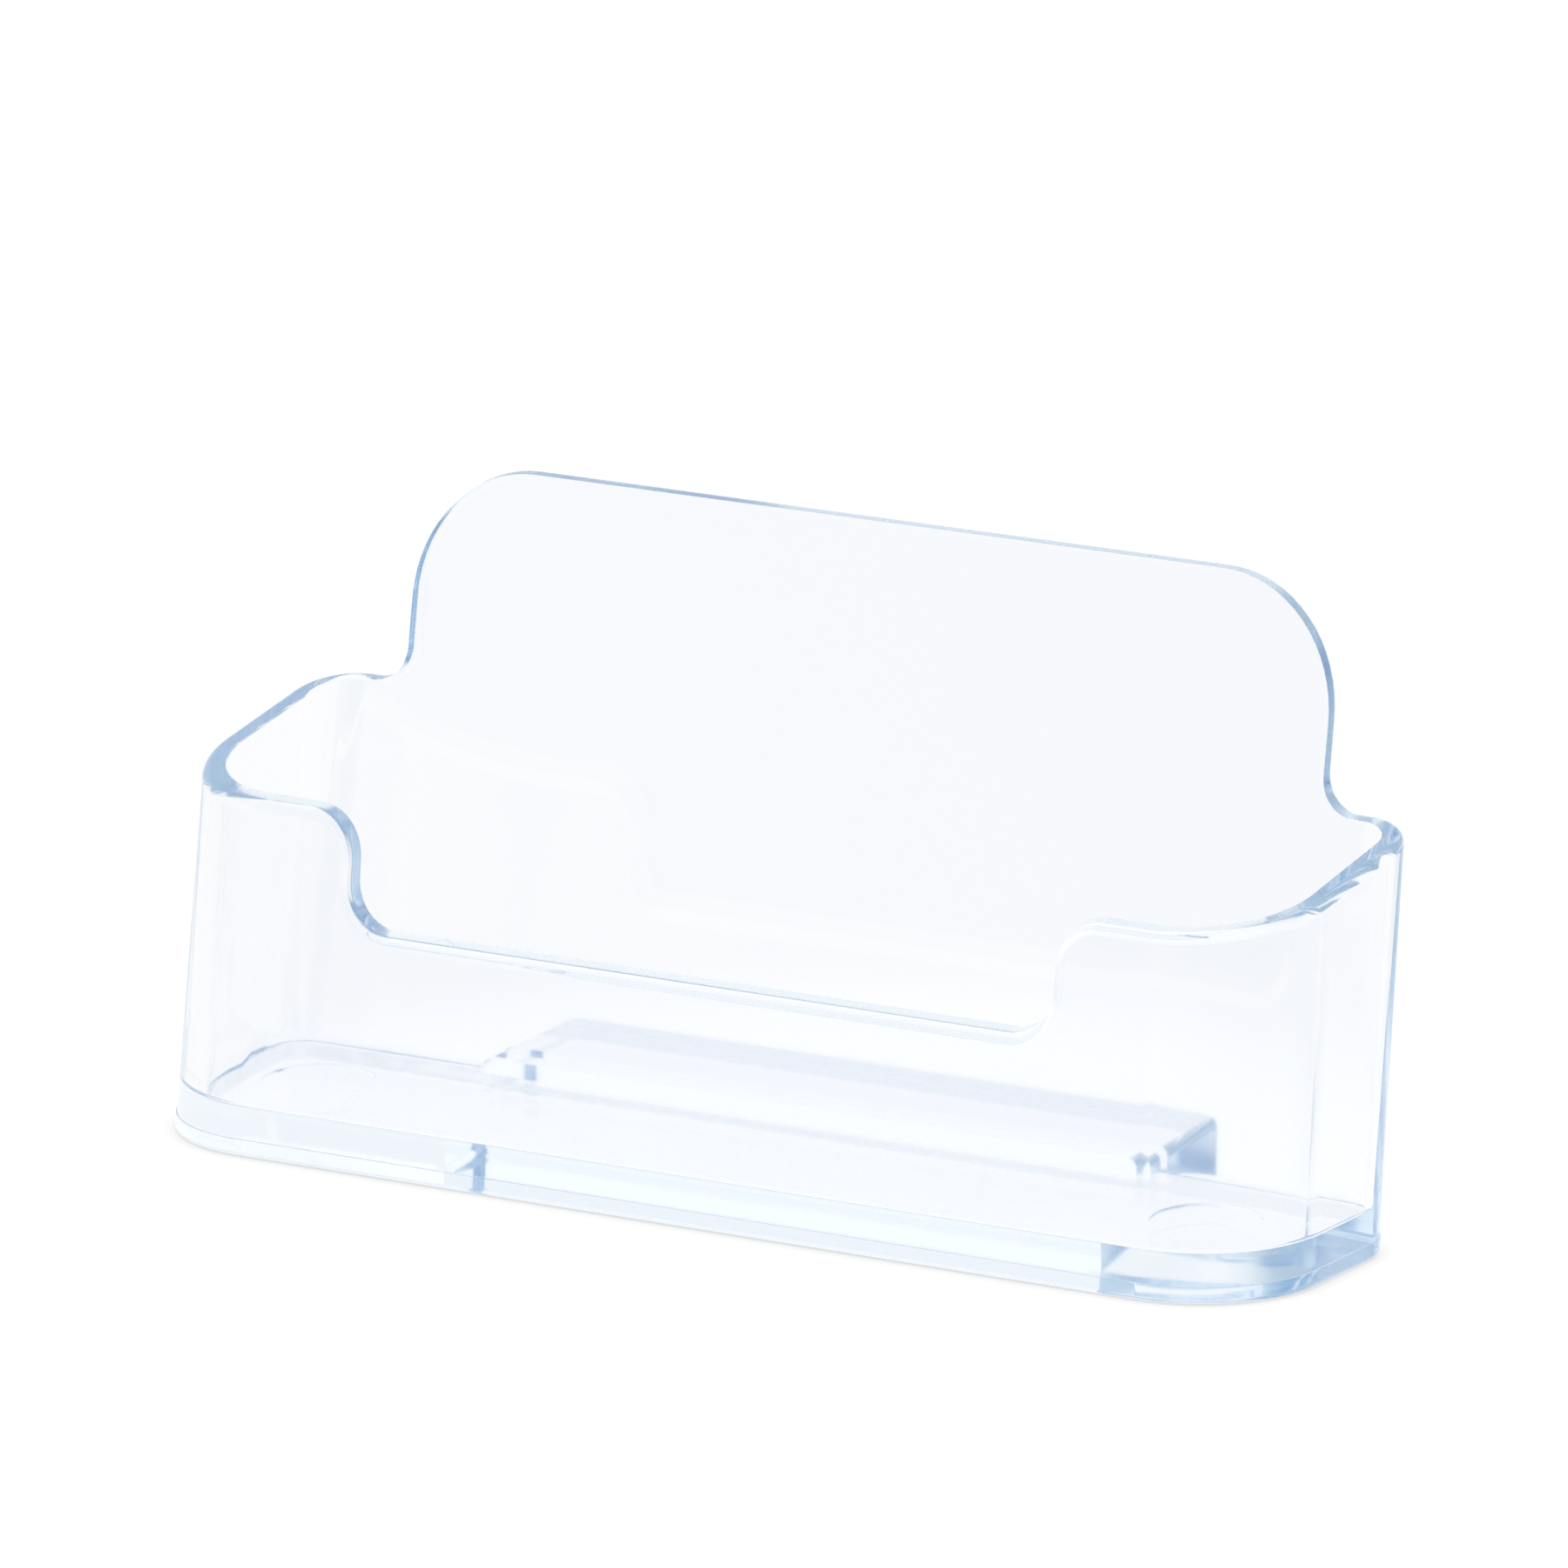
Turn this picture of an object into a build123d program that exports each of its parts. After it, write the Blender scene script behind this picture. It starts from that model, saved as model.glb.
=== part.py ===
from build123d import *
import os

# Clear moulded stand for business cards, in millimetres, +Z up.
# The origin is on the table, at the middle of the footprint; the front wall faces -Y.

# Pocket: the rounded box that the cards stand in, measured outside at the table
POCKET_WIDTH = 98.0
POCKET_DEPTH = 22.5
FRONT_CORNER = 9.8
BACK_CORNER = 4.6
WALL_FOOT = 2.1
WALL_TOP = 1.4
RIM_ROUND = 0.45

# Slopes of the outside faces, as run per unit of height
FRONT_LEAN = 0.122
BACK_LEAN = 0.163
SIDE_DRAFT = 0.024

# Heights above the table
FLOOR_TOP = 3.2
DIP_LOW = 17.9
RIM_FRONT = 26.9
RIM_BACK = 31.25
PANEL_TOP = 48.25

# Low middle of the front wall, where a thumb reaches the cards, between two flat shoulders
FRONT_SHOULDER = 4.25
DIP_INNER_ROUND = 3.5
DIP_OUTER_ROUND = 3.8

# Tall tongue of the back panel, between two short flat shoulders
BACK_SHOULDER = 0.75
PANEL_ROUND = 10.0
PANEL_NECK_ROUND = 2.8

# Base: a slightly proud rim at the table, flat underneath
LIP_OUT = 0.1
LIP_HEIGHT = 1.3

# Round marks that the ejector pins leave on the floor
PIN_MARK_RADIUS = 4.3
PIN_MARK_DEPTH = 0.15
PIN_MARK_FROM_SIDE = 10.4
PIN_MARK_FROM_FRONT = 11.7

# Foot behind the back wall, which keeps the leaning stand from tipping over
FOOT_WIDTH = 57.4
FOOT_REACH = 10.5
FOOT_HEIGHT = 4.45
FOOT_ROUND = 1.5

# Places worked out from the sizes above
TOTAL_DEPTH = LIP_OUT + POCKET_DEPTH + FOOT_REACH
FRONT_Y = LIP_OUT - TOTAL_DEPTH / 2
BACK_Y = FRONT_Y + POCKET_DEPTH
MIDDLE_Y = FRONT_Y + POCKET_DEPTH / 2 + FRONT_LEAN * RIM_BACK / 2
RIM_FRONT_Y = FRONT_Y + FRONT_LEAN * RIM_FRONT
RIM_BACK_Y = BACK_Y + BACK_LEAN * RIM_BACK
RIM_SLOPE = (RIM_BACK - RIM_FRONT) / (RIM_BACK_Y - RIM_FRONT_Y)
RIM_DIRECTION = Vector(0, 1, RIM_SLOPE)
STOCK_TOP = PANEL_TOP + WALL_FOOT

# Half widths along the rim: where the flat stretches end, and where the dip and the tongue begin
FRONT_FLAT_HALF = POCKET_WIDTH / 2 - SIDE_DRAFT * RIM_FRONT - FRONT_CORNER
BACK_FLAT_HALF = POCKET_WIDTH / 2 - SIDE_DRAFT * RIM_BACK - BACK_CORNER
DIP_HALF = FRONT_FLAT_HALF - FRONT_SHOULDER - DIP_OUTER_ROUND
PANEL_HALF = BACK_FLAT_HALF - BACK_SHOULDER - PANEL_NECK_ROUND
FRONT_WALL_END = FRONT_FLAT_HALF - FRONT_SHOULDER / 2
BACK_PANEL_END = BACK_FLAT_HALF - BACK_SHOULDER / 2


def pocket_corners(height, inset):
    """Four corners of the pocket's outline at a height, drawn in by an inset, front ones first."""
    half = POCKET_WIDTH / 2 - SIDE_DRAFT * height - inset
    front = FRONT_Y + FRONT_LEAN * height + inset
    back = BACK_Y + BACK_LEAN * height - inset
    outline = [(-half, front), (half, front), (half, back), (-half, back)]
    return [(x, y, height) for x, y in outline]


def leaning_block(low, high, low_inset, high_inset):
    """Solid between two heights whose sides follow the pocket's slopes, with rounded corners."""
    bottom = pocket_corners(low, low_inset)
    top = pocket_corners(high, high_inset)
    outlines = [bottom, top]
    for here, there in ((0, 1), (1, 2), (2, 3), (3, 0)):
        outlines.append([bottom[here], bottom[there], top[there], top[here]])
    faces = [make_face(Polyline(*outline, close=True)).face() for outline in outlines]
    block = Solid(Shell(faces))
    inset = (low_inset + high_inset) / 2
    block = fillet(upright_edges(block, front=True), FRONT_CORNER - inset)
    return fillet(upright_edges(block, front=False), BACK_CORNER - inset)


def upright_edges(block, front):
    """The two slanting corner edges at the front or at the back of a block."""
    height = block.bounding_box().size.Z
    rising = [e for e in block.edges() if e.bounding_box().size.Z > height / 2]
    rising = ShapeList(rising).sort_by(Axis.Y)
    return rising[:2] if front else rising[-2:]


def span_box(x_low, x_high, y_low, y_high):
    """Upright block from the table to the stock's top."""
    size = (x_high - x_low, y_high - y_low, STOCK_TOP)
    return Pos(x_low, y_low, 0) * Box(*size, align=(Align.MIN, Align.MIN, Align.MIN))


def rounded(face, x, z, radius):
    """Face on the XZ plane with its two corners at +x and -x, height z, rounded."""
    corners = [v for v in face.vertices() if abs(abs(v.X) - x) + abs(v.Z - z) < WALL_TOP / 10]
    return fillet(corners, radius)


def mirrored_outline(points):
    """Closed face on the XZ plane from the points of its right half, top to bottom."""
    right = [(x, 0, z) for x, z in points]
    left = [(-x, 0, z) for x, z in reversed(points)]
    return make_face(Polyline(*right, *left, close=True))


def front_profile():
    """Outline of the front seen square on: two shoulders and a low middle, drawn at the rim's front edge."""
    low = DIP_LOW + RIM_SLOPE * FRONT_LEAN * (RIM_FRONT - DIP_LOW)
    points = [(DIP_HALF, low), (DIP_HALF, RIM_FRONT), (POCKET_WIDTH, RIM_FRONT), (POCKET_WIDTH, -RIM_FRONT)]
    face = mirrored_outline(points)
    face = rounded(face, DIP_HALF, low, DIP_INNER_ROUND)
    return rounded(face, DIP_HALF, RIM_FRONT, DIP_OUTER_ROUND)


def back_profile():
    """Outline of the back seen square on: a tall tongue on a wide root, drawn at the rim's back edge."""
    top = PANEL_TOP - RIM_SLOPE * BACK_LEAN * (PANEL_TOP - RIM_BACK)
    points = [(PANEL_HALF, top), (PANEL_HALF, RIM_BACK), (POCKET_WIDTH, RIM_BACK), (POCKET_WIDTH, -RIM_BACK)]
    face = mirrored_outline(points)
    face = rounded(face, PANEL_HALF, top, min(PANEL_ROUND, top - RIM_BACK - PANEL_NECK_ROUND - WALL_TOP))
    return rounded(face, PANEL_HALF, RIM_BACK, PANEL_NECK_ROUND)


def drawn_from_middle(face, drawn_at, direction):
    """Prism from a profile of the rim, run along the rim's slope from the pocket's middle outwards."""
    drop = RIM_SLOPE * (MIDDLE_Y - drawn_at)
    return extrude(Pos(0, MIDDLE_Y, drop) * face, amount=TOTAL_DEPTH, dir=direction)


def rim_edges(walls, outside):
    """Edges round the walls' top that lie on the outside faces."""
    edges = []
    for edge in walls.edges():
        stands_on_floor = edge.bounding_box().min.Z < FLOOR_TOP + WALL_TOP
        middle = edge.position_at(0.5)
        away = min(face.distance_to(middle) for face in outside.faces())
        if not stands_on_floor and away < RIM_ROUND / 10:
            edges.append(edge)
    return edges


def pocket_walls():
    """Thin leaning wall all round the pocket, thicker at its foot, with its rim cut and rounded."""
    outside = leaning_block(FLOOR_TOP, STOCK_TOP, 0, 0)
    inside = leaning_block(FLOOR_TOP, STOCK_TOP, WALL_FOOT, WALL_TOP)
    front = drawn_from_middle(front_profile(), RIM_FRONT_Y, -RIM_DIRECTION)
    back = drawn_from_middle(back_profile(), RIM_BACK_Y, RIM_DIRECTION)
    walls = (outside - inside) & (front + back)
    return fillet(rim_edges(walls, outside), RIM_ROUND)


def front_wall(walls):
    """Flat front wall with its dip, between the front corners."""
    return walls & span_box(-FRONT_WALL_END, FRONT_WALL_END, -TOTAL_DEPTH, MIDDLE_Y)


def back_panel(walls):
    """Flat back panel with its tongue, between the back corners."""
    return walls & span_box(-BACK_PANEL_END, BACK_PANEL_END, MIDDLE_Y, TOTAL_DEPTH)


def side_wall(walls, side):
    """Side wall with its two rounded corners; side is -1 on the left and +1 on the right."""
    outer = side * POCKET_WIDTH
    front_end = side * FRONT_WALL_END
    back_end = side * BACK_PANEL_END
    front_half = span_box(min(front_end, outer), max(front_end, outer), -TOTAL_DEPTH, MIDDLE_Y)
    back_half = span_box(min(back_end, outer), max(back_end, outer), MIDDLE_Y, TOTAL_DEPTH)
    return walls & (front_half + back_half)


def base_plate():
    """Floor of the pocket with a proud rim at the table, marked by two ejector pins."""
    plate = leaning_block(0, FLOOR_TOP, 0, 0) + leaning_block(0, LIP_HEIGHT, -LIP_OUT, -LIP_OUT)
    mark = Cylinder(PIN_MARK_RADIUS, PIN_MARK_DEPTH, align=(Align.CENTER, Align.CENTER, Align.MAX))
    mark_x = POCKET_WIDTH / 2 - PIN_MARK_FROM_SIDE
    for x in (-mark_x, mark_x):
        plate -= Pos(x, FRONT_Y + PIN_MARK_FROM_FRONT, FLOOR_TOP) * mark
    return plate


def rear_foot():
    """Flat foot behind the back wall, seated against the wall and the base."""
    start = MIDDLE_Y
    end = BACK_Y + FOOT_REACH
    outline = Pos(0, (start + end) / 2) * Rectangle(FOOT_WIDTH, end - start)
    outline = fillet(outline.vertices().group_by(Axis.Y)[-1], FOOT_ROUND)
    block = extrude(outline, amount=FOOT_HEIGHT)
    block -= leaning_block(0, STOCK_TOP, 0, 0)
    return block - leaning_block(0, LIP_HEIGHT, -LIP_OUT, -LIP_OUT)


def main():
    walls = pocket_walls()
    nodes = {
        "base_plate": base_plate(),
        "front_wall": front_wall(walls),
        "left_side_wall": side_wall(walls, -1),
        "right_side_wall": side_wall(walls, 1),
        "back_panel": back_panel(walls),
        "rear_foot": rear_foot(),
    }
    os.makedirs("parts", exist_ok=True)
    for name, shape in nodes.items():
        export_step(shape.solids()[0] if len(shape.solids()) == 1 else shape, f"parts/{name}.step")
        print(name, len(shape.solids()), round(shape.volume, 1))


main()
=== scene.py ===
# %% [markdown]
# # A clear card stand
# The stand is one clear moulding: a leaning pocket for business cards, a dipped front wall, a tall back
# panel and a flat foot behind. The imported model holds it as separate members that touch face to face.
# Clear plastic shows every face that light crosses, also the hidden ones between two members, so the
# looks need one mesh with no inner faces. This lesson models that mesh, rounds its edges and gives it a
# clear plastic.

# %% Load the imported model
from math import copysign, radians

import bmesh
import bpy
from mathutils import Matrix, Vector


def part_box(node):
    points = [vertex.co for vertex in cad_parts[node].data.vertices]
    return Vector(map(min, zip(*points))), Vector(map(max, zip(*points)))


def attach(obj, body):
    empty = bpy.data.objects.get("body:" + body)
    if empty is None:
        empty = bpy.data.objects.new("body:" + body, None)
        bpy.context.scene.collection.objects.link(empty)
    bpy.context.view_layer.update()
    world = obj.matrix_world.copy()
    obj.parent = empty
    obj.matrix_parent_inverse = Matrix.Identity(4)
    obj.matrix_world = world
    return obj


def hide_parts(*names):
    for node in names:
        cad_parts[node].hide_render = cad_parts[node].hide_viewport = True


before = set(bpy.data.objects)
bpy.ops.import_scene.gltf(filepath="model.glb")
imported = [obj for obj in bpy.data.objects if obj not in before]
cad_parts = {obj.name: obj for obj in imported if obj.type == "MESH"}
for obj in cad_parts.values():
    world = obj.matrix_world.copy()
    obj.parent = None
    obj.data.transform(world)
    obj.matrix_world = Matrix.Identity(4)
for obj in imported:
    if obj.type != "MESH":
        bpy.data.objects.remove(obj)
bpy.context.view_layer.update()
print("packed members:", sorted(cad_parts))

# %% [markdown]
# ## Sizes
# Everything is in metres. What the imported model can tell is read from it: the outline at the table, the
# height of the floor and the foot. The slopes, corner radii and wall thickness are written once, here.

# %% Sizes
MM = 0.001
base_low, base_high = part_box("base_plate")
foot_low, foot_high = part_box("rear_foot")

lip_out = 0.1 * MM
lip_height = 1.3 * MM
floor_top = base_high.z
pocket_depth = 22.5 * MM
wall_foot = 2.1 * MM
wall_top = 1.4 * MM
front_corner = 9.8 * MM
back_corner = 4.6 * MM
front_lean = 0.122
back_lean = 0.163
side_draft = 0.024

rim_front = 26.9 * MM
rim_back = 31.25 * MM
panel_top = 48.2 * MM
stock_top = panel_top + wall_foot

half_width = base_high.x - lip_out
front_y = base_low.y + lip_out
back_y = front_y + pocket_depth
middle_y = (front_y + front_corner + back_y) / 2
rim_front_y = front_y + front_lean * rim_front
rim_back_y = back_y + back_lean * rim_back
rim_slope = (rim_back - rim_front) / (rim_back_y - rim_front_y)
print("pocket", round(2 * half_width / MM, 2), "mm wide, rim slope", round(rim_slope, 4))

# %% [markdown]
# ## A leaning rounded block
# The outside of the pocket is a rounded rectangle that leans back as it rises. Four vertices make the
# outline and a vertex bevel rounds its corners into true arcs. The outline is extruded, and each quarter
# of the raised copy moves by its own lean, so the corners keep their radius. The sides get a mark, to be
# found again after cutting.

# %% Leaning rounded block
CORNER_STEPS = 128
SIDE_MARK = 1
WALL_TILT = 0.5  # a face is a wall if its normal rises or falls by less than this


def new_object(name, bm):
    """Object at the origin from a bmesh, with its faces turned outwards."""
    bmesh.ops.recalc_face_normals(bm, faces=bm.faces)
    mesh = bpy.data.meshes.new(name)
    bm.to_mesh(mesh)
    bm.free()
    obj = bpy.data.objects.new(name, mesh)
    bpy.context.scene.collection.objects.link(obj)
    return obj


def round_corners(bm, verts, radius, steps):
    """Vertex bevel that turns the corners of a flat outline into arcs."""
    bmesh.ops.bevel(bm, geom=verts, offset=radius, offset_type="OFFSET", affect="VERTICES",
                    segments=steps, profile=0.5, material=-1)


def push_up(bm, way):
    """Extrude the only face along a vector and return the new vertices."""
    made = bmesh.ops.extrude_face_region(bm, geom=bm.faces[:])
    moved = [v for v in made["geom"] if isinstance(v, bmesh.types.BMVert)]
    bmesh.ops.translate(bm, vec=way, verts=moved)
    return moved


def outer_block(name):
    """Leaning block with the outside faces of the pocket, its sides marked."""
    bm = bmesh.new()
    corners = [(-half_width, front_y), (half_width, front_y), (half_width, back_y), (-half_width, back_y)]
    verts = [bm.verts.new((x, y, 0)) for x, y in corners]
    bm.faces.new(verts)
    round_corners(bm, verts[:2], front_corner, CORNER_STEPS)
    round_corners(bm, verts[2:], back_corner, CORNER_STEPS)
    for vert in push_up(bm, (0, 0, stock_top)):
        lean = front_lean if vert.co.y < middle_y else back_lean
        vert.co += Vector((-copysign(side_draft, vert.co.x), lean, 0)) * stock_top
    bm.normal_update()
    for face in bm.faces:
        face.material_index = SIDE_MARK if abs(face.normal.z) < WALL_TILT else 0
    block = new_object(name, bm)
    block.data.materials.append(None)
    block.data.materials.append(None)
    return block


body = outer_block("stand_shell")
print("outside block:", len(body.data.polygons), "faces")

# %% [markdown]
# ## Cutters for the rim
# Seen square on, the front wall dips between two shoulders and the back panel rises in a tall tongue.
# Each outline is drawn upside down, as the waste above the rim, with its corners rounded by the same
# vertex bevel, and is pushed through the walls along the rim's own slope, so that the top of every wall
# follows that slope.

# %% Rim cutters
ARC_STEPS = 16
dip_half = 30.5 * MM
dip_low = 17.9 * MM
dip_inner_round = 3.5 * MM
dip_outer_round = 3.8 * MM
panel_half = 40.1 * MM
panel_round = 10.0 * MM
panel_neck_round = 2.8 * MM
slope_way = Vector((0, 1, rim_slope))


def waste_prism(name, points, drawn_at, reach):
    """Prism of the waste above a rim outline; points are (x, z, radius) down the right half."""
    bm = bmesh.new()
    lift = rim_slope * (middle_y - drawn_at)
    mirrored = points + [(-x, z, radius) for x, z, radius in reversed(points)]
    verts = [bm.verts.new((x, middle_y, z + lift)) for x, z, radius in mirrored]
    bm.faces.new(verts)
    for vert, (x, z, radius) in zip(verts, mirrored):
        if radius > 0:
            round_corners(bm, [vert], radius, ARC_STEPS)
    push_up(bm, slope_way * reach)
    return new_object(name, bm)


far = 2 * half_width
high = 2 * stock_top
dip_floor = dip_low + rim_slope * front_lean * (rim_front - dip_low)
tongue_top = panel_top - rim_slope * back_lean * (panel_top - rim_back)
front_points = [
    (far, high, 0),
    (far, rim_front, 0),
    (dip_half, rim_front, dip_outer_round),
    (dip_half, dip_floor, dip_inner_round),
]
back_points = [
    (far, high, 0),
    (far, rim_back, 0),
    (panel_half, rim_back, panel_neck_round),
    (panel_half, tongue_top, panel_round),
]
front_waste = waste_prism("front_waste", front_points, rim_front_y, -far)
back_waste = waste_prism("back_waste", back_points, rim_back_y, far)
print("rim cutters:", len(front_waste.data.vertices), "and", len(back_waste.data.vertices), "vertices")

# %% [markdown]
# ## The outside, cut to the rim
# Booleans take the waste away. Only the outside faces are kept, with the underside: a skin whose open
# edge is the rim. The inside comes from this skin, and not from a second cut, because then every rim
# vertex has its partner across the wall and the rim is a clean strip of quads that a bevel can round.

# %% Cut to the rim
near = 0.02 * MM


def carve(obj, tools):
    """Apply Booleans to an object's mesh and remove the tools."""
    for tool, operation in tools:
        modifier = obj.modifiers.new(tool.name, "BOOLEAN")
        modifier.object = tool
        modifier.operation = operation
        modifier.solver = "EXACT"
    depsgraph = bpy.context.evaluated_depsgraph_get()
    mesh = bpy.data.meshes.new_from_object(obj.evaluated_get(depsgraph))
    obj.modifiers.clear()
    obj.data = mesh
    for tool, operation in tools:
        bpy.data.objects.remove(tool)


carve(body, [(front_waste, "DIFFERENCE"), (back_waste, "DIFFERENCE")])
bm = bmesh.new()
bm.from_mesh(body.data)
bmesh.ops.remove_doubles(bm, verts=bm.verts, dist=near)
cut_faces = [f for f in bm.faces if f.material_index != SIDE_MARK and f.calc_center_median().z > near]
bmesh.ops.delete(bm, geom=cut_faces, context="FACES")
print("skin:", len(bm.faces), "faces,", sum(1 for e in bm.edges if e.is_boundary), "edges along the rim")

# %% [markdown]
# ## The inside of the pocket
# The skin is split at the height of the floor. The part above is extruded and the copy moves inwards by
# the wall's thickness, which shrinks towards the top as a mould needs. The way inwards is kept in a
# vertex layer, so the copies know it too. The ring left at floor height goes, and the pocket's floor
# closes the inside.

# %% Inside of the pocket
outward = bm.verts.layers.float_vector.new("outward")


def split_at(bm, height):
    """Cut every face that crosses a height, without removing anything."""
    bmesh.ops.bisect_plane(bm, geom=bm.verts[:] + bm.edges[:] + bm.faces[:], dist=near / 10,
                           plane_co=(0, 0, height), plane_no=(0, 0, 1))


def open_edges(bm):
    """Number of edges that do not have two faces; 0 on a closed mesh."""
    return sum(1 for e in bm.edges if len(e.link_faces) != 2)


split_at(bm, floor_top)
split_at(bm, lip_height)
bm.normal_update()
for vert in bm.verts:
    faces = [f for f in vert.link_faces if abs(f.normal.z) < WALL_TILT]
    way = sum((f.normal * f.calc_area() for f in faces), Vector())
    vert[outward] = Vector((way.x, way.y, 0)).normalized()
walls = [f for f in bm.faces if f.calc_center_median().z > floor_top + near]
made = bmesh.ops.extrude_face_region(bm, geom=walls, use_keep_orig=True)
inner = [v for v in made["geom"] if isinstance(v, bmesh.types.BMVert)]
ring = [f for f in bm.faces if all(abs(v.co.z - floor_top) < near for v in f.verts)]
bmesh.ops.delete(bm, geom=ring, context="FACES_ONLY")
for vert in inner:
    share = (vert.co.z - floor_top) / (stock_top - floor_top)
    step = -vert[outward] * (wall_foot + (wall_top - wall_foot) * share)
    if vert.co.z > floor_top + near:
        step.z = rim_slope * step.y
    vert.co += step
stray = [e for e in bm.edges if not e.link_faces]
bmesh.ops.delete(bm, geom=stray, context="EDGES")
opening = [e for e in bm.edges if e.is_boundary]
bmesh.ops.edgeloop_fill(bm, edges=opening)
bmesh.ops.recalc_face_normals(bm, faces=bm.faces)
print("open edges after the floor:", open_edges(bm))

# %% [markdown]
# ## Rim at the table
# The lowest band of the outside stands a little proud all round. It is extruded outwards along the same
# ways that carried the inside inwards. The faces of the underside are then joined into one, so that its
# edge can be rounded further in than the band stands out.

# %% Proud rim at the table
low_faces = [f for f in bm.faces if f.calc_center_median().z < lip_height]
band = [f for f in low_faces if abs(f.normal.z) < WALL_TILT]
band_edges = list(dict.fromkeys(e for f in band for e in f.edges))
made = bmesh.ops.extrude_face_region(bm, geom=band + band_edges)
for vert in made["geom"]:
    if isinstance(vert, bmesh.types.BMVert):
        vert.co += vert[outward] * lip_out
underside = [f for f in bm.faces if f.calc_center_median().z < near]
bmesh.ops.dissolve_faces(bm, faces=underside, use_verts=True)
bmesh.ops.recalc_face_normals(bm, faces=bm.faces)
print("faces with the proud rim:", len(bm.faces))

# %% [markdown]
# ## Rounded edges
# A mould leaves no knife edges, and on clear plastic each rounded edge is a thin bright and dark line.
# The rim is well rounded outside and almost sharp inside, which gives it a pale outer half and a blue
# inner half. The floor runs into the walls with a small fillet, the underside has a round edge, and the
# step of the band is only eased. Sharp edges are found by the angle between their faces and sorted by
# where they lie.

# %% Rounded rim and base
SHARP = radians(30)
rim_outer_round = 0.8 * MM
rim_outer_steps = 10
rim_inner_round = 0.1 * MM
rim_inner_steps = 3
floor_fillet = 0.4 * MM
floor_steps = 4
base_ease = 0.4 * MM
base_steps = 6
ledge_ease = 0.04 * MM
ledge_steps = 2
rim_above = dip_low / 2
facing_out = 0.7


def ease(bm, wanted, offset, segments):
    """Bevel the sharp edges whose middle the test wants, and count them."""
    sharp = [e for e in bm.edges if len(e.link_faces) == 2 and e.calc_face_angle() > SHARP]
    edges = [e for e in sharp if wanted((e.verts[0].co + e.verts[1].co) / 2, e)]
    bmesh.ops.bevel(bm, geom=edges, offset=offset, offset_type="OFFSET", affect="EDGES",
                    segments=segments, profile=0.5, material=-1, clamp_overlap=False)
    return len(edges)


def outside_rim(p, e):
    """True for an edge of the rim that borders the outside of a wall."""
    way_out = e.verts[0][outward]
    return p.z > rim_above and any(f.normal.dot(way_out) > facing_out for f in e.link_faces)


def outer_ledge(p, e):
    """True for the outer edge of the step on top of the proud band."""
    return abs(p.z - lip_height) < near and e.is_convex


counts = {
    "outer rim": ease(bm, outside_rim, rim_outer_round, rim_outer_steps),
    "inner rim": ease(bm, lambda p, e: p.z > rim_above, rim_inner_round, rim_inner_steps),
    "floor": ease(bm, lambda p, e: abs(p.z - floor_top) < near, floor_fillet, floor_steps),
    "base": ease(bm, lambda p, e: p.z < near, base_ease, base_steps),
    "ledge": ease(bm, outer_ledge, ledge_ease, ledge_steps),
}
print("eased edges:", counts, "open edges:", open_edges(bm))
bm.to_mesh(body.data)
bm.free()

# %% [markdown]
# ## Foot and pin marks
# The foot is one more rounded block with a round upper edge, pushed into the back wall and joined to it.
# It starts a hair above the table, because a union leaves gaps where two faces lie in one plane. The pins
# that push the moulding out of its mould leave two shallow round marks on the floor, cut with low
# cylinders.

# %% Foot and pin marks
pin_radius = 4.3 * MM
pin_depth = 0.15 * MM
pin_steps = 96
pin_x = 38.6 * MM
pin_from_front = 11.7 * MM
pin_y = front_y + pin_from_front
pin_ease = 0.05 * MM
pin_ease_steps = 2
foot_round = 1.5 * MM
foot_ease = 0.8 * MM
foot_steps = 8


def pin_mark(name, x):
    """Low cylinder that cuts one pin mark into the floor."""
    bm = bmesh.new()
    place = Matrix.Translation((x, pin_y, floor_top))
    bmesh.ops.create_cone(bm, cap_ends=True, segments=pin_steps, radius1=pin_radius, radius2=pin_radius,
                          depth=2 * pin_depth, matrix=place)
    return new_object(name, bm)


def behind(p, e):
    """True for the upper edges of the foot that stand free behind the back wall."""
    return p.y > back_y + foot_round and p.z > 2 * near


def pin_rim(p, e):
    """True for the edge round a pin mark: short, convex and at floor height."""
    at_floor = abs(p.z - floor_top) < near
    short = e.calc_length() < pin_radius / 10
    beside_pin = abs(p.x) > pin_x - 2 * pin_radius
    return at_floor and short and beside_pin and e.is_convex


def foot_block(name):
    """Rounded block of the foot, reaching into the back wall."""
    bm = bmesh.new()
    start = (back_y + middle_y) / 2
    end = foot_high.y
    corners = [(foot_low.x, start), (foot_high.x, start), (foot_high.x, end), (foot_low.x, end)]
    verts = [bm.verts.new((x, y, near)) for x, y in corners]
    bm.faces.new(verts)
    round_corners(bm, verts[2:], foot_round, ARC_STEPS)
    push_up(bm, (0, 0, foot_high.z - near))
    ease(bm, behind, foot_ease, foot_steps)
    return new_object(name, bm)


carve(body, [
    (foot_block("foot"), "UNION"),
    (pin_mark("pin_left", -pin_x), "DIFFERENCE"),
    (pin_mark("pin_right", pin_x), "DIFFERENCE"),
])
bm = bmesh.new()
bm.from_mesh(body.data)
bmesh.ops.remove_doubles(bm, verts=bm.verts, dist=near / 10)
print("eased round the pin marks:", ease(bm, pin_rim, pin_ease, pin_ease_steps))
bmesh.ops.recalc_face_normals(bm, faces=bm.faces)
for face in bm.faces:
    face.smooth = True
    face.material_index = 0
bm.to_mesh(body.data)
print("shell:", len(bm.verts), "vertices, open edges:", open_edges(bm))
bm.free()
body.data.set_sharp_from_angle(angle=SHARP)
largest_weight = 100
flat_normals = body.modifiers.new("flat_normals", "WEIGHTED_NORMAL")
flat_normals.keep_sharp = True
flat_normals.weight = largest_weight

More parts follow.
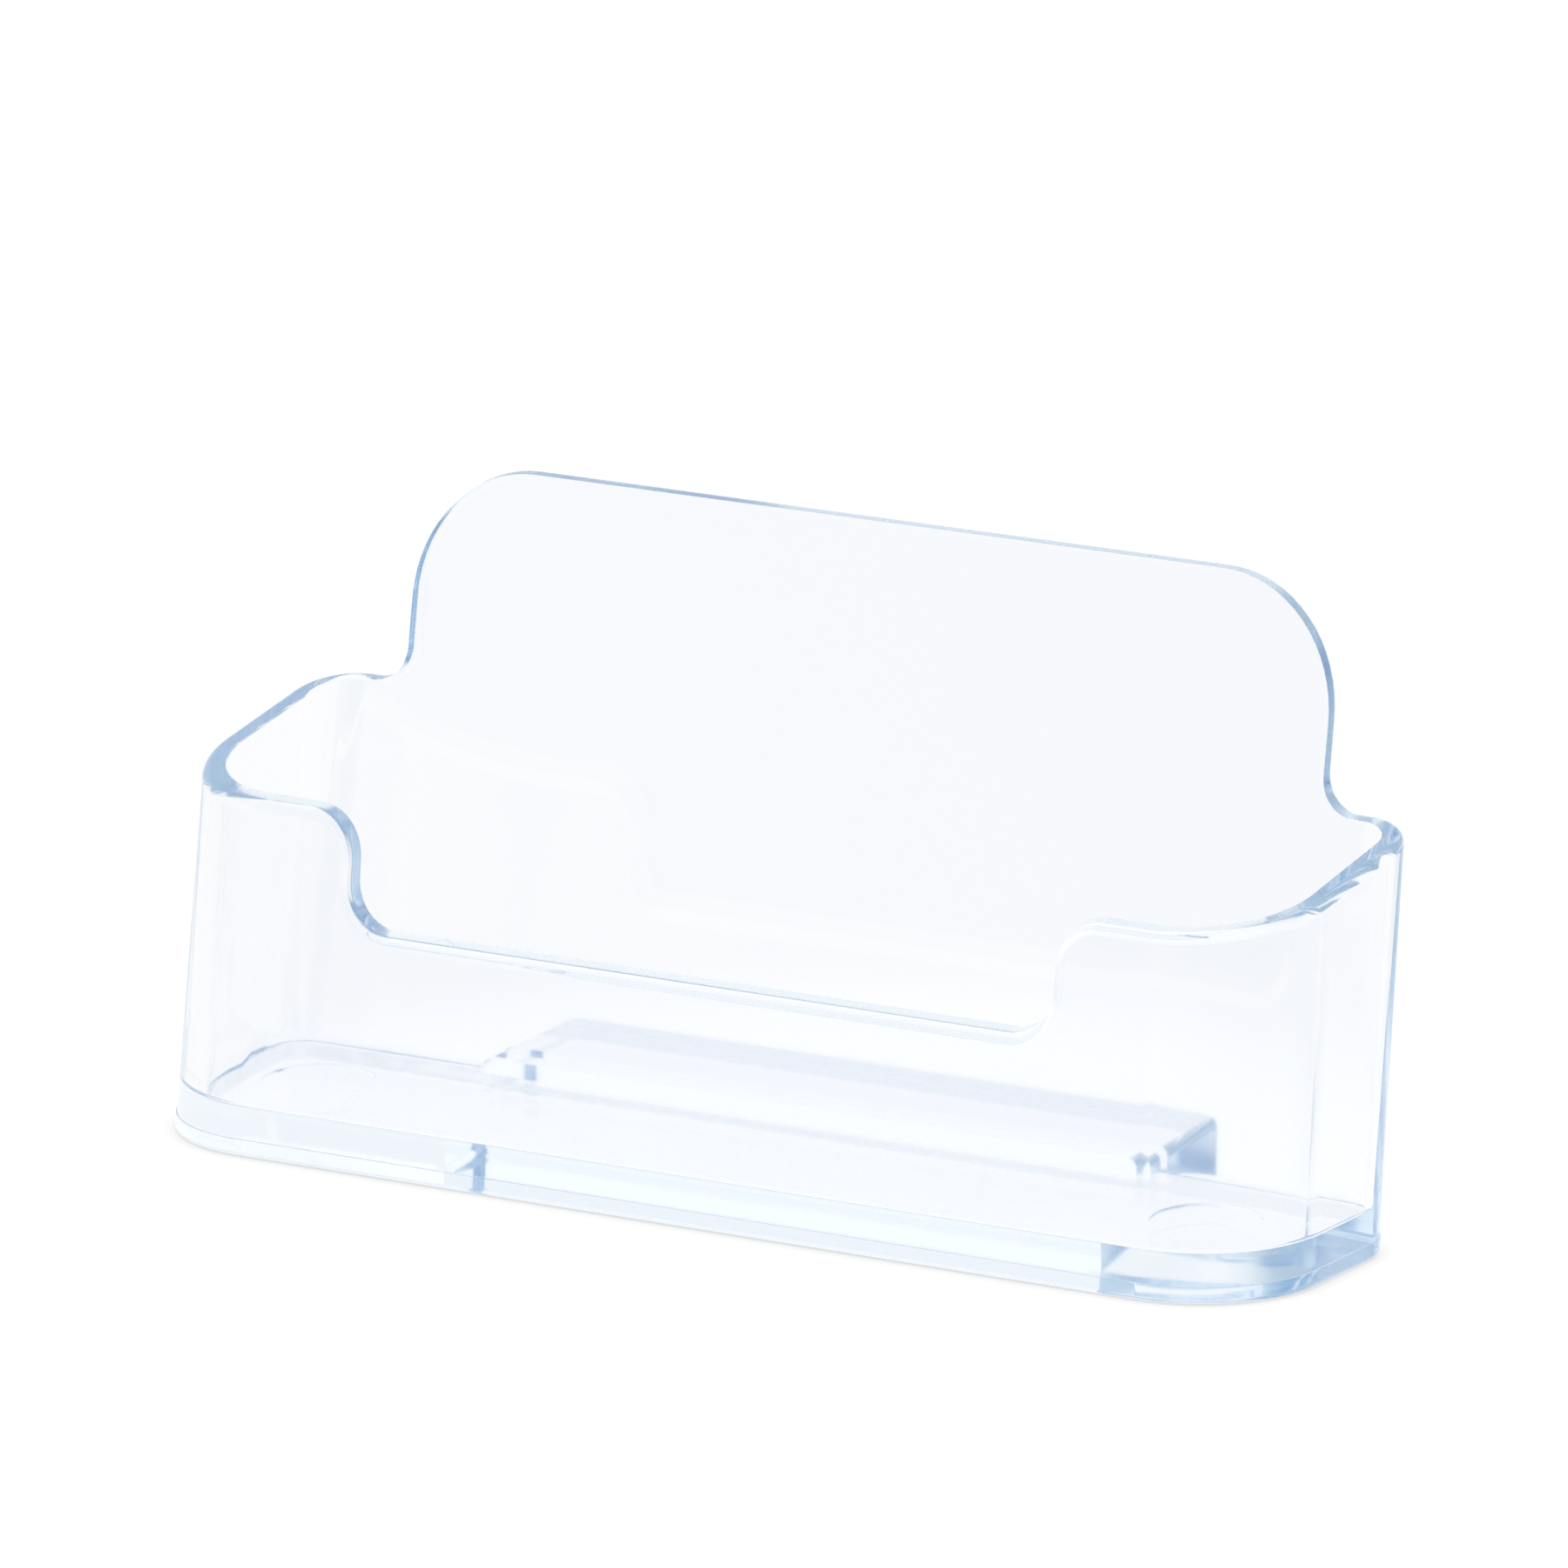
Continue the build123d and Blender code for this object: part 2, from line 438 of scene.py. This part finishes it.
# %% [markdown]
# ## Clear plastic
# Polystyrene bends light a little more than window glass and has a trace of blue, which shows only along
# the edges, where light runs a long way inside. So most of the colour is in the volume and only a trace
# on the surface: an absorption takes a little red out for every centimetre. The faces are slightly rough,
# unevenly, by a noise: what is mirrored again and again inside the base then turns soft, as in the
# photograph, and does not become a comb of sharp lines.

# %% Clear plastic
plastic_tint = (0.986, 0.990, 1.0, 1.0)
plastic_ior = 1.57
least_rough = 0.03
most_rough = 0.08
cloud_scale = 60.0
cloud_detail = 3.0
depth_colour = (0.12, 0.62, 0.95, 1.0)
depth_density = 3.6


def clear_plastic():
    """Clear material with a tint in its depth and an uneven, slight roughness."""
    material = bpy.data.materials.new("clear_plastic")
    material.use_nodes = True
    nodes, links = material.node_tree.nodes, material.node_tree.links
    surface = nodes["Principled BSDF"]
    surface.inputs["Base Color"].default_value = plastic_tint
    surface.inputs["IOR"].default_value = plastic_ior
    surface.inputs["Transmission Weight"].default_value = 1.0
    place = nodes.new("ShaderNodeTexCoord")
    cloud = nodes.new("ShaderNodeTexNoise")
    cloud.inputs["Scale"].default_value = cloud_scale
    cloud.inputs["Detail"].default_value = cloud_detail
    spread = nodes.new("ShaderNodeMapRange")
    spread.inputs["To Min"].default_value = least_rough
    spread.inputs["To Max"].default_value = most_rough
    links.new(place.outputs["Object"], cloud.inputs["Vector"])
    links.new(cloud.outputs["Fac"], spread.inputs["Value"])
    links.new(spread.outputs["Result"], surface.inputs["Roughness"])
    depth = nodes.new("ShaderNodeVolumeAbsorption")
    depth.inputs["Color"].default_value = depth_colour
    depth.inputs["Density"].default_value = depth_density
    links.new(depth.outputs["Volume"], nodes["Material Output"].inputs["Volume"])
    return material


body.data.materials.clear()
body.data.materials.append(clear_plastic())
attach(body, "root")
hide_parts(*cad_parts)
print("clear plastic on", body.name)

# %% [markdown]
# ## Small helpers for shader nodes
# Floor and sky below are built from the same few nodes: a smooth run between two values, simple
# arithmetic on two sockets, and a mix of two colours. A short function for each keeps the cells that
# follow easy to read. The last one picks out the rays that reached a place by way of the plastic.

# %% Helpers for shader nodes


def faded(nodes, links, value, start, end, at_start, at_end):
    """Socket that runs smoothly from one value to another while the input goes from start to end."""
    fall = nodes.new("ShaderNodeMapRange")
    fall.interpolation_type = "SMOOTHSTEP"
    fall.inputs["From Min"].default_value = start
    fall.inputs["From Max"].default_value = end
    fall.inputs["To Min"].default_value = at_start
    fall.inputs["To Max"].default_value = at_end
    links.new(value, fall.inputs["Value"])
    return fall.outputs["Result"]


def combined(nodes, links, operation, first, second):
    """Socket of a Math node; each of the two values is a socket or a number."""
    node = nodes.new("ShaderNodeMath")
    node.operation = operation
    for value, socket in zip((first, second), node.inputs):
        if isinstance(value, float):
            socket.default_value = value
        else:
            links.new(value, socket)
    return node.outputs[0]


def tinted(nodes, links, share, first, second):
    """Socket that runs from one colour to another as the share goes from 0 to 1."""
    mix = nodes.new("ShaderNodeMixRGB")
    mix.inputs["Color1"].default_value = first
    mix.inputs["Color2"].default_value = second
    links.new(share, mix.inputs["Fac"])
    return mix.outputs["Color"]


def bent_rays(nodes, links):
    """Light Path node, and a socket that is 1 for rays that the plastic mirrored or let through."""
    rays = nodes.new("ShaderNodeLightPath")
    glossy = rays.outputs["Is Glossy Ray"]
    through = rays.outputs["Is Transmission Ray"]
    return rays, combined(nodes, links, "MAXIMUM", glossy, through)


print("helpers ready")

# %% [markdown]
# ## Floor
# The table is white, runs out of the picture and is lit from all round. The floor glows white for the
# rays that show it, less where the stand is close: a painted contact shadow. What the plastic mirrors and
# bends is
# painted light and shade: a glow a little brighter under the stand and a painted grey shade towards the
# front and the sides. A thin layer of air lies between floor and stand, so that the underside mirrors the
# inside of the base, as on a real table.

# %% White floor
air_gap = 0.1 * MM
floor_half = 4.0
floor_colour = (0.04, 0.04, 0.04, 1.0)
near_floor = (1.0, 1.0, 1.0, 1.0)
# painted shade: grey-blue glow that the floor gives to what the plastic mirrors and bends, towards the
# front and the sides
painted_grey_floor = (0.80, 0.81, 0.88, 1.0)
# how much the distance to the middle counts beside the distance to the front, and where the painted grey
# shade comes in
side_share = 0.45
painted_grey_start = 0.02
painted_grey_end = 0.20
# radii from the middle, in metres: the floor under the stand, which glows brighter as painted light, and
# the open floor
under_end = 0.035
open_start = 0.065
painted_light_under = 1.05
open_shine = 0.965
# painted contact shadow: how far the stand darkens the floor's glow for the camera, and how dark it gets
contact_reach = 2.0 * MM
painted_contact_shade = 0.72
clear_shine = 0.99


def light_up(nodes, links, surface):
    """Make the floor glow: white for the camera with a painted contact shadow, and for what the plastic
    shows a painted brighter glow under the stand and a run to painted grey shade.
    """
    place = nodes.new("ShaderNodeTexCoord")
    axes = nodes.new("ShaderNodeSeparateXYZ")
    links.new(place.outputs["Object"], axes.inputs[0])
    away = nodes.new("ShaderNodeVectorMath")
    away.operation = "LENGTH"
    links.new(place.outputs["Object"], away.inputs[0])
    radius = away.outputs["Value"]
    rays, bent = bent_rays(nodes, links)

    # painted grey shade, only in what the plastic mirrors and bends, growing towards the front and the
    # sides
    aside = combined(nodes, links, "MULTIPLY", radius, side_share)
    aside = combined(nodes, links, "SUBTRACT", aside, axes.outputs["Y"])
    grey = faded(nodes, links, aside, painted_grey_start, painted_grey_end, 0.0, 1.0)
    share = combined(nodes, links, "MULTIPLY", bent, grey)
    links.new(tinted(nodes, links, share, near_floor, painted_grey_floor), surface.inputs["Emission Color"])

    # painted light: for bent rays the floor glows brighter under the stand than on the open floor
    shine = faded(nodes, links, radius, under_end, open_start, painted_light_under, open_shine)
    bent_painted_light = combined(nodes, links, "MULTIPLY", bent, shine)
    # painted contact shadow: the glow that the camera sees darkens where the stand is close
    contact = nodes.new("ShaderNodeAmbientOcclusion")
    contact.inputs["Distance"].default_value = contact_reach
    shade = faded(nodes, links, contact.outputs["AO"], 0.0, 1.0, painted_contact_shade, clear_shine)
    direct = combined(nodes, links, "MULTIPLY", rays.outputs["Is Camera Ray"], shade)
    strength = combined(nodes, links, "MAXIMUM", bent_painted_light, direct)
    links.new(strength, surface.inputs["Emission Strength"])


def floor_painted_light_and_shade():
    """Dull material that reflects little light and shines by itself instead, with painted light and shade
    in that glow.
    """
    material = bpy.data.materials.new("floor_painted_light_and_shade")
    material.use_nodes = True
    nodes, links = material.node_tree.nodes, material.node_tree.links
    surface = nodes["Principled BSDF"]
    surface.inputs["Base Color"].default_value = floor_colour
    surface.inputs["Roughness"].default_value = 1.0
    surface.inputs["Specular IOR Level"].default_value = 0.0
    light_up(nodes, links, surface)
    return material


bm = bmesh.new()
below = Matrix.Translation((0, 0, -air_gap))
bmesh.ops.create_grid(bm, x_segments=1, y_segments=1, size=floor_half, matrix=below)
floor = new_object("floor", bm)
floor.data.materials.append(floor_painted_light_and_shade())
print("floor", round(air_gap / MM, 2), "mm below the stand")

# %% [markdown]
# ## Sky
# Apart from the floor's own white, all light comes from a white sky. For what the plastic mirrors and
# bends, the sky has a dark blue area above the front: without something dark to bend, clear edges would
# vanish. It is found by the angle between a ray and the middle of that area, and the camera itself never
# sees it.

# %% Sky
white_sky = (1.0, 1.0, 1.0, 1.0)
dark_sky = (0.0, 0.20, 0.52, 1.0)
dark_middle = Vector((0.3, -0.7, 0.65)).normalized()
dark_cosine = 0.68
white_cosine = 0.25

world = bpy.data.worlds.new("studio")
bpy.context.scene.world = world
world.use_nodes = True
nodes, links = world.node_tree.nodes, world.node_tree.links
way = nodes.new("ShaderNodeTexCoord")
angle = nodes.new("ShaderNodeVectorMath")
angle.operation = "DOT_PRODUCT"
angle.inputs[1].default_value = dark_middle
links.new(way.outputs["Generated"], angle.inputs[0])
area = faded(nodes, links, angle.outputs["Value"], white_cosine, dark_cosine, 0.0, 1.0)
rays, bent = bent_rays(nodes, links)
dark = combined(nodes, links, "MULTIPLY", bent, area)
links.new(tinted(nodes, links, dark, white_sky, dark_sky), nodes["Background"].inputs["Color"])
print("sky with a dark area towards", [round(v, 2) for v in dark_middle])

# %% [markdown]
# ## Camera
# The picture was taken from the right and a little above, from far away with a long lens, so that the
# walls stay almost parallel. The angles and the distance put the stand where the photograph has it.

# %% Camera
azimuth = radians(31.2)
elevation = radians(14.3)
roll = radians(-0.26)
distance = 1.2763
aim_back = 11.45 * MM
aim_up = 20 * MM
aim = Vector((0, front_y - lip_out + aim_back, aim_up))
shift_right = 2.14 * MM
shift_up = 11.11 * MM
sensor_width = 36.0
lens = 392.6
sight_end = 20.0

turn = Matrix.Rotation(azimuth, 3, "Z")
turn = turn @ Matrix.Rotation(radians(90) - elevation, 3, "X")
turn = turn @ Matrix.Rotation(roll, 3, "Z")
camera = bpy.data.objects.new("camera", bpy.data.cameras.new("camera"))
camera.data.sensor_width = sensor_width
camera.data.lens = lens
camera.location = aim + turn @ Vector((shift_right, shift_up, distance))
camera.rotation_euler = turn.to_euler()
camera.data.clip_end = sight_end
bpy.context.scene.collection.objects.link(camera)
bpy.context.scene.camera = camera
print("camera at", [round(v, 3) for v in camera.location], "with a lens of", lens, "mm")

# %% [markdown]
# ## Render settings
# The view transform stays Standard, so that white is white. Light meets many faces inside the stand, so
# it may bounce more often than usual.

# %% Render settings
BOUNCES = 96
scene = bpy.context.scene
scene.view_settings.view_transform = "Standard"
scene.cycles.max_bounces = BOUNCES
scene.cycles.transmission_bounces = BOUNCES
scene.cycles.glossy_bounces = BOUNCES
